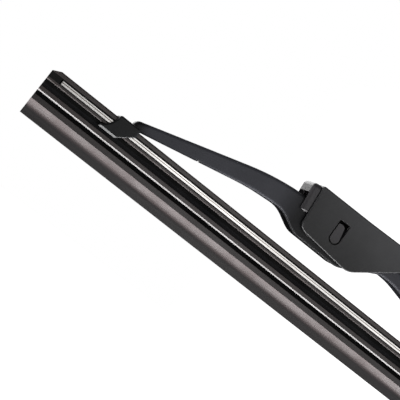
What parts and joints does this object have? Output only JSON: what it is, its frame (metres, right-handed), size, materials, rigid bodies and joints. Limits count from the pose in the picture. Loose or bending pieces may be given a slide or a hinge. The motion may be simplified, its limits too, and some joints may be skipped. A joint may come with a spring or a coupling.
{
  "type": "wiper blade",
  "caption": "Short bridge-type rear wiper blade: arched bridge with end claws over a strip-stiffened rubber, and a rocking connector with a sleeve for the wiper arm.",
  "frame": {"origin": "middle of the blade's length, on the wiping lip's edge", "axes": "+X along the blade towards the arm's side, +Y across it, +Z away from the glass"},
  "size_m": [0.1774, 0.011, 0.0348],
  "materials": {
    "rubber": "matte",
    "strip_steel": "satin",
    "pin_steel": "satin",
    "bridge_plastic": "satin",
    "clip_plastic": "matte",
    "connector_plastic": "matte"
  },
  "bodies": {
    "connector": {"arm_connector": "connector_plastic", "adapter_clip": "clip_plastic"},
    "blade": {"bridge": "bridge_plastic", "pivot_pin": "pin_steel", "wiper_rubber": "rubber", "front_strip": "strip_steel", "rear_strip": "strip_steel"}
  },
  "joints": [
    {"name": "blade_rock", "type": "hinge", "parent": "connector", "child": "blade", "pos_m": [-0.0071, 0, 0.02253], "axis": [0, 1, 0], "range_deg": [-5, 5]}
  ]
}
